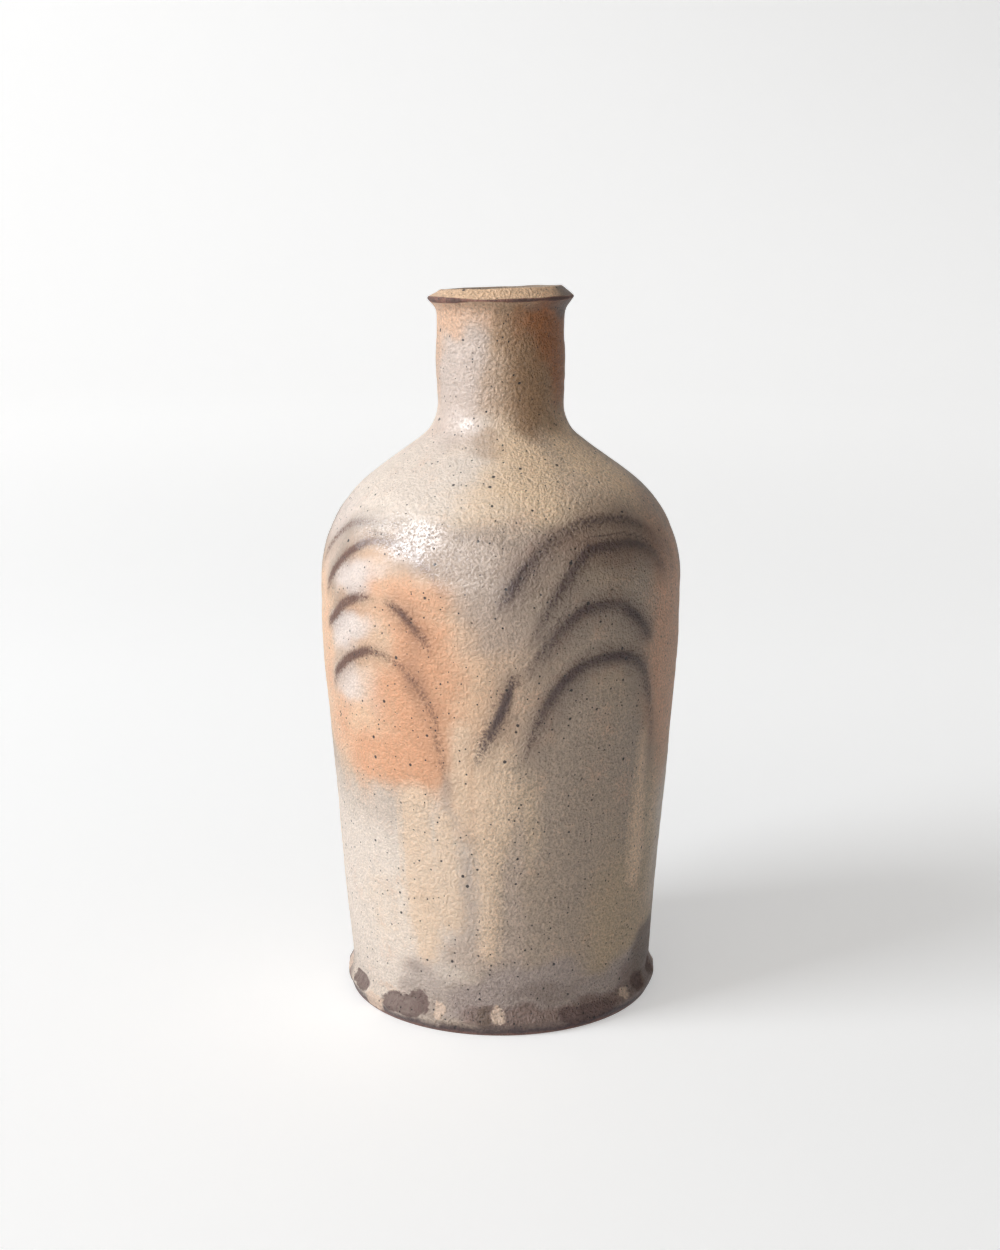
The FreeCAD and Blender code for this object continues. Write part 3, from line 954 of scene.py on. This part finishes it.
def glaze_nodes(material):
    material.use_nodes = True
    material.node_tree.nodes.clear()
    nodes = Nodes(material.node_tree)
    place = nodes.add("ShaderNodeTexCoord").out("Object")

    def rough(length, detail, sharpness, stretch=None):
        """Noise from about -1 to 1."""
        vector = place
        if stretch:
            vector = nodes.add("ShaderNodeVectorMath", {"operation": "DIVIDE"}, {
                0: place, 1: stretch,
            })
        texture = nodes.add("ShaderNodeTexNoise", None, {
            "Vector": vector, "Scale": 1 / (length * MM), "Detail": detail,
            "Roughness": sharpness,
        })
        return (texture - HALF) * NOISE_GAIN

    height = nodes.add("ShaderNodeSeparateXYZ", None, {"Vector": place}).out("Z") / MM
    broad, mottle, fleck = rough(*BROAD), rough(*MOTTLE), rough(*FLECK)
    pebble, grain = rough(*PEBBLE), rough(*GRAIN)
    streaks = rough(*STREAK, stretch=STREAK_STRETCH)

    def uneven(mottled=0, pebbled=0, grained=0):
        """The sum of as much of each noise."""
        amounts = ((mottle, mottled), (pebble, pebbled), (grain, grained))
        terms = [texture * amount for texture, amount in amounts if amount]
        return sum(terms[1:], terms[0])

    def painted(name):
        """A number painted on the skin."""
        settings = {"attribute_type": "GEOMETRY", "attribute_name": name}
        return nodes.add("ShaderNodeAttribute", settings).out("Fac")

    def between(share, at_0, at_1):
        """One number where the share is 0, the other where it is 1."""
        return share * (at_1 - at_0) + at_0

    def over(under, colour, share):
        """A colour laid over another where the share is 1."""
        return nodes.add("ShaderNodeMix", {"data_type": "RGBA"}, {
            "Factor": share, "A": under, "B": colour,
        })

    def patched(under, laid_over):
        """Painted patches laid over, with grainy edges."""
        for colour, name, low, high, most, raggedness in laid_over:
            share = (painted(name) + ragged * raggedness).smooth(low, high)
            under = over(under, colour, share * most)
        return under

    def specks(cell, chance, small, large, seed):
        """1 in a speck."""
        shifted = nodes.add("ShaderNodeVectorMath", {"operation": "ADD"}, {
            0: place, 1: (seed, seed * 2.0, seed * 3.0),
        })
        cells = nodes.add("ShaderNodeTexVoronoi", None, {
            "Vector": shifted, "Scale": 1 / (cell * MM),
        })
        apart = nodes.add("ShaderNodeSeparateColor", None, {
            "Color": cells.out("Color"),
        })
        size = between(apart.out("Green"), small, large)
        reach = cells.out("Distance") * cell + grain * SPECK_RAGGED
        there = apart.out("Red").math("LESS_THAN", chance)
        return (1 - (reach / size).smooth(*SPECK_RIM)) * there

    # Body, from the clay outwards
    ragged = uneven(mottled=0.16, pebbled=0.06, grained=0.04)
    tan = (painted("tan") + broad * 0.5).smooth(0, 1)
    on_neck = (height + uneven(mottled=3)).smooth(*NECK_STARTS)
    colour = over(over(TAUPE, TAN, tan), NECK_TAN, on_neck)
    colour = patched(colour, BODY_PATCHES)

    # Runs of ash glaze, with soft edges
    run = (painted("ash_run") + uneven(mottled=0.8, grained=0.4)).smooth(*RUN_EDGE)
    colour = over(colour, RUN_CREAM, run * (uneven(mottled=0.12) + RUN_COVERS))

    # Lines of the wiped arches: dark at the core, with a smoky edge and a grainy break
    rough_edge = uneven(pebbled=0.7, grained=0.6)
    warm = painted("line_red")
    away = painted("line_side").math("ABSOLUTE") + rough_edge
    reach = painted("line_reach") + rough_edge
    core = (1 - away.smooth(*CORE_FADE)) * (1 - reach.smooth(*CORE_END))
    halo = 1 - reach.smooth(*HALO_FADE)
    line = core * between(warm, *CORE_COVERS) + halo * between(warm, *HALO_COVERS)
    line = line * painted("line_dark") * (uneven(mottled=0.2) + 1)
    broken = line * (1 - line) * uneven(pebbled=2.2, grained=3.6)
    line = line * (uneven(grained=0.2) + 1) + broken
    line = line.math("MAXIMUM", 0).math("MINIMUM", 1)
    colour = over(colour, over(LINE_BROWN, LINE_RED, warm), line)
    colour = patched(colour, NECK_PATCHES)

    # Foot: smudges, the dark band at the base, bare clay, its red edge, dabs of slip
    colour = patched(colour, FOOT_PATCHES)
    base = 1 - (height + uneven(mottled=2, pebbled=0.6)).smooth(*BASE_BAND)
    colour = over(colour, BASE_BROWN, base * BASE_COVERS)
    bare = (painted("bare_foot") + uneven(mottled=0.4, pebbled=0.3)).smooth(*BARE_EDGE)
    patchy = uneven(pebbled=0.2, grained=0.22) + BARE_COVERS
    colour = over(colour, BARE_BROWN, bare * patchy)
    red = 1 - (height + uneven(mottled=0.6)).smooth(*RED_BAND)
    colour = over(colour, BASE_RED, red * RED_COVERS)
    dab = (painted("dabs") + uneven(mottled=0.4, pebbled=0.25)).smooth(*DAB_EDGE)
    colour = over(colour, DAB_CREAM, dab * DAB_COVERS)

    # Rim: a tan bevel, and a dark broken line on the edge of the lip
    bevel = (height + uneven(pebbled=0.2)).smooth(*BEVEL_STARTS)
    colour = over(colour, RIM_TAN, bevel * BEVEL_COVERS)
    colour = patched(colour, RIM_PATCHES)
    edge = painted("lip_edge")
    red_edge = (edge + ragged * 2 + uneven(grained=0.25)).smooth(*LIP_RED_EDGE)
    colour = over(colour, LIP_RED, red_edge)
    edge = (edge + ragged * 3 + uneven(grained=0.2)).smooth(*LIP_BROWN_EDGE)
    colour = over(colour, LIP_BROWN, edge * LIP_COVERS)

    # Specks of iron, and the fine grain of the fired surface
    iron = specks(*SMALL_SPECKS).math("MAXIMUM", specks(*LARGE_SPECKS))
    colour = over(colour, IRON_SPECK, iron * SPECK_COVERS)
    pale = painted("cream") + painted("white") + painted("peach")
    pale = (pale + painted("neck_pale") * NECK_PALE_SHARE).smooth(0, 1)
    shade = uneven(pebbled=0.1, grained=0.32) * between(pale, *GRAIN_SHOWS)
    shade = 1 + shade + fleck * FLECK_SHADE + streaks * STREAK_SHADE
    colour = nodes.add("ShaderNodeVectorMath", {"operation": "SCALE"}, {
        0: colour, "Scale": shade.math("MAXIMUM", 0),
    })
    colour = over(INSIDE_BROWN, colour, painted("outside").smooth(*INSIDE_EDGE))

    # Gloss where ash melted on the shoulder and neck, broken into glints by pebbles
    gloss = (painted("gloss") + uneven(mottled=0.15)).smooth(*GLOSS_EDGE)
    glints = gloss * uneven(pebbled=0.7, grained=0.9).smooth(*GLINT_EDGE)
    roughness = between(gloss, ROUGH_DRY, ROUGH_GLOSSY) + uneven(grained=0.03)
    roughness = roughness + (bare + edge) * ROUGH_BARE

    rough_foot = 1 - height.smooth(*SMOOTH_ABOVE_FOOT)
    pebbles = on_neck * NECK_PEBBLES + rough_foot * FOOT_PEBBLES + PEBBLE_BUMP
    bumps = pebble * pebbles + uneven(grained=0.2)
    bumps = bumps * between(pale, *GRAIN_BUMPS) * (1 - gloss * GLOSS_LEVELS)
    bumps = bumps + uneven(mottled=0.06) - iron * SPECK_PIT + streaks * STREAK_BUMP
    bumps = bumps + bare * uneven(mottled=0.25, pebbled=0.15)
    normal = nodes.add("ShaderNodeBump", None, {
        "Strength": 1.0, "Distance": MM, "Height": bumps,
    })
    shader = nodes.add("ShaderNodeBsdfPrincipled", None, {
        "Base Color": colour, "Roughness": roughness, "Normal": normal,
        "IOR": GLAZE_IOR, "Specular Tint": GLAZE_SHEEN, "Coat Weight": glints,
        "Coat Roughness": COAT_ROUGHNESS, "Coat IOR": COAT_IOR,
    })
    nodes.add("ShaderNodeOutputMaterial", None, {"Surface": shader})


glaze_nodes(glaze)
skin = bpy.data.objects.new("bottle_skin", skin_mesh)
bpy.context.collection.objects.link(skin)
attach(skin, "root")
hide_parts("bottle")

# Room: a round sheet of white paper that lies flat under the bottle and sweeps up
# all round it. It looks a little brighter to the camera than it lights the clay, by a
# painted glow that stands for the window's light on it: brighter behind and far off,
# dimmer to the right and higher up.
PAPER_FLAT = 2.0
PAPER_BEND = 0.8
PAPER_TOP = 2.2
PAPER_STEPS = 16
PAPER_AROUND = 96
PAPER_WHITE = (0.75, 0.75, 0.75, 1)
PAPER_ROUGHNESS = 0.9
FRONT_GLOW = 0.39
BACK_GLOW = 0.14
BACK_REACH = (-0.2, 0.5)
FAR_GLOW = 0.17
FAR_REACH = (0.3, 1.9)
PAINTED_FALLOFF_RIGHT = 0.21
PAINTED_FALLOFF_UP = 0.08
PAINTED_FALLOFF_CORNER = 0.4


def swept_paper():
    """The flat, the bend and the wall, turned about the bottle's axis."""
    line = [(0.0, 0.0), (PAPER_FLAT, 0.0)]
    for step in range(1, PAPER_STEPS + 1):
        turn = math.pi / 2 * step / PAPER_STEPS
        out = PAPER_FLAT + PAPER_BEND * math.sin(turn)
        line.append((out, PAPER_BEND * (1 - math.cos(turn))))
    line.append((line[-1][0], PAPER_TOP))
    sheet = bmesh.new()
    points = [sheet.verts.new((out, 0, up)) for out, up in line]
    edges = [sheet.edges.new(pair) for pair in zip(points, points[1:])]
    bmesh.ops.spin(
        sheet, geom=points + edges, cent=(0, 0, 0), axis=(0, 0, 1),
        angle=2 * math.pi, steps=PAPER_AROUND, use_merge=True,
    )
    bmesh.ops.remove_doubles(sheet, verts=sheet.verts, dist=MERGE)
    for face in sheet.faces:
        face.smooth = True
        if face.normal.z < 0 or face.normal.dot(face.calc_center_median()) > 0:
            face.normal_flip()
    mesh = bpy.data.meshes.new("paper_sweep")
    sheet.to_mesh(mesh)
    sheet.free()
    return mesh


def paper_material():
    material = bpy.data.materials.new("white_paper")
    material.use_nodes = True
    material.node_tree.nodes.clear()
    nodes = Nodes(material.node_tree)
    paper = nodes.add("ShaderNodeBsdfPrincipled", None, {
        "Base Color": PAPER_WHITE, "Roughness": PAPER_ROUGHNESS,
    })
    apart = nodes.add("ShaderNodeSeparateXYZ", None, {
        "Vector": nodes.add("ShaderNodeTexCoord").out("Object"),
    })
    right, back = apart.out("X"), apart.out("Y")
    far = (right ** 2 + back ** 2).math("SQRT").smooth(*FAR_REACH)
    # Painted window light on the paper: the glow is brighter behind and far off
    glow = FRONT_GLOW + back.smooth(*BACK_REACH) * BACK_GLOW + far * FAR_GLOW
    slant = right / (back.math("ABSOLUTE") - CAMERA_PLACE[1])
    height = apart.out("Z")
    # Painted fall-off of the window's light: the glow dims to the right and higher up
    glow = glow - slant * (far * PAINTED_FALLOFF_RIGHT + height * PAINTED_FALLOFF_CORNER)
    glow = glow - height * PAINTED_FALLOFF_UP
    brighter = nodes.add("ShaderNodeBsdfPrincipled", None, {
        "Base Color": PAPER_WHITE, "Roughness": PAPER_ROUGHNESS,
        "Emission Strength": 1.0,
        "Emission Color": nodes.add("ShaderNodeCombineColor", None, {
            "Red": glow, "Green": glow, "Blue": glow,
        }),
    })
    path = nodes.add("ShaderNodeLightPath")
    seen = path.math("MAXIMUM", path.out("Is Glossy Ray"))
    mix = nodes.add("ShaderNodeMixShader", None, {0: seen, 1: paper, 2: brighter})
    nodes.add("ShaderNodeOutputMaterial", None, {"Surface": mix})
    return material


paper = bpy.data.objects.new("paper_sweep", swept_paper())
paper.data.materials.append(paper_material())
bpy.context.collection.objects.link(paper)

# Light: a window to the left and a little in front, the pale wall beside the camera
# that it lights, and the room's own light, which comes in over the paper.
LAMPS = {
    # name: degrees aside and up, metres away, wide and high, watts, colour
    "window": (-66, 34, 1.7, 0.75, 1.0, 21.5, (0.95, 0.975, 1.0)),
    "pale_wall": (-22, 24, 1.8, 1.7, 1.5, 7.7, (1.0, 0.94, 0.85)),
}
LAMP_AIM = (0, 0, 0.12)
ROOM_COLOUR = (1.0, 0.96, 0.90, 1)
ROOM_LIGHT = 0.1
ROOM_SEEN = 0.9

for name, (aside, rise, distance, wide, high, watts, colour) in LAMPS.items():
    way = Vector((0, -1, 0))
    way.rotate(Matrix.Rotation(math.radians(-rise), 3, "X"))
    way.rotate(Matrix.Rotation(math.radians(aside), 3, "Z"))
    lamp = bpy.data.objects.new(name, bpy.data.lights.new(name, "AREA"))
    lamp.data.shape = "RECTANGLE"
    lamp.data.size = wide
    lamp.data.size_y = high
    lamp.data.energy = watts
    lamp.data.color = colour
    lamp.location = Vector(LAMP_AIM) + way * distance
    lamp.rotation_euler = way.to_track_quat("Z", "Y").to_euler()
    bpy.context.collection.objects.link(lamp)

room = bpy.data.worlds.new("room")
room.use_nodes = True
room.node_tree.nodes.clear()
nodes = Nodes(room.node_tree)
lit = nodes.add("ShaderNodeBackground", None, {
    "Color": ROOM_COLOUR, "Strength": ROOM_LIGHT,
})
seen = nodes.add("ShaderNodeBackground", None, {
    "Color": ROOM_COLOUR, "Strength": ROOM_SEEN,
})
path = nodes.add("ShaderNodeLightPath")
shown = path.math("MAXIMUM", path.out("Is Glossy Ray"))
mix = nodes.add("ShaderNodeMixShader", None, {0: shown, 1: lit, 2: seen})
nodes.add("ShaderNodeOutputWorld", None, {"Surface": mix})
bpy.context.scene.world = room
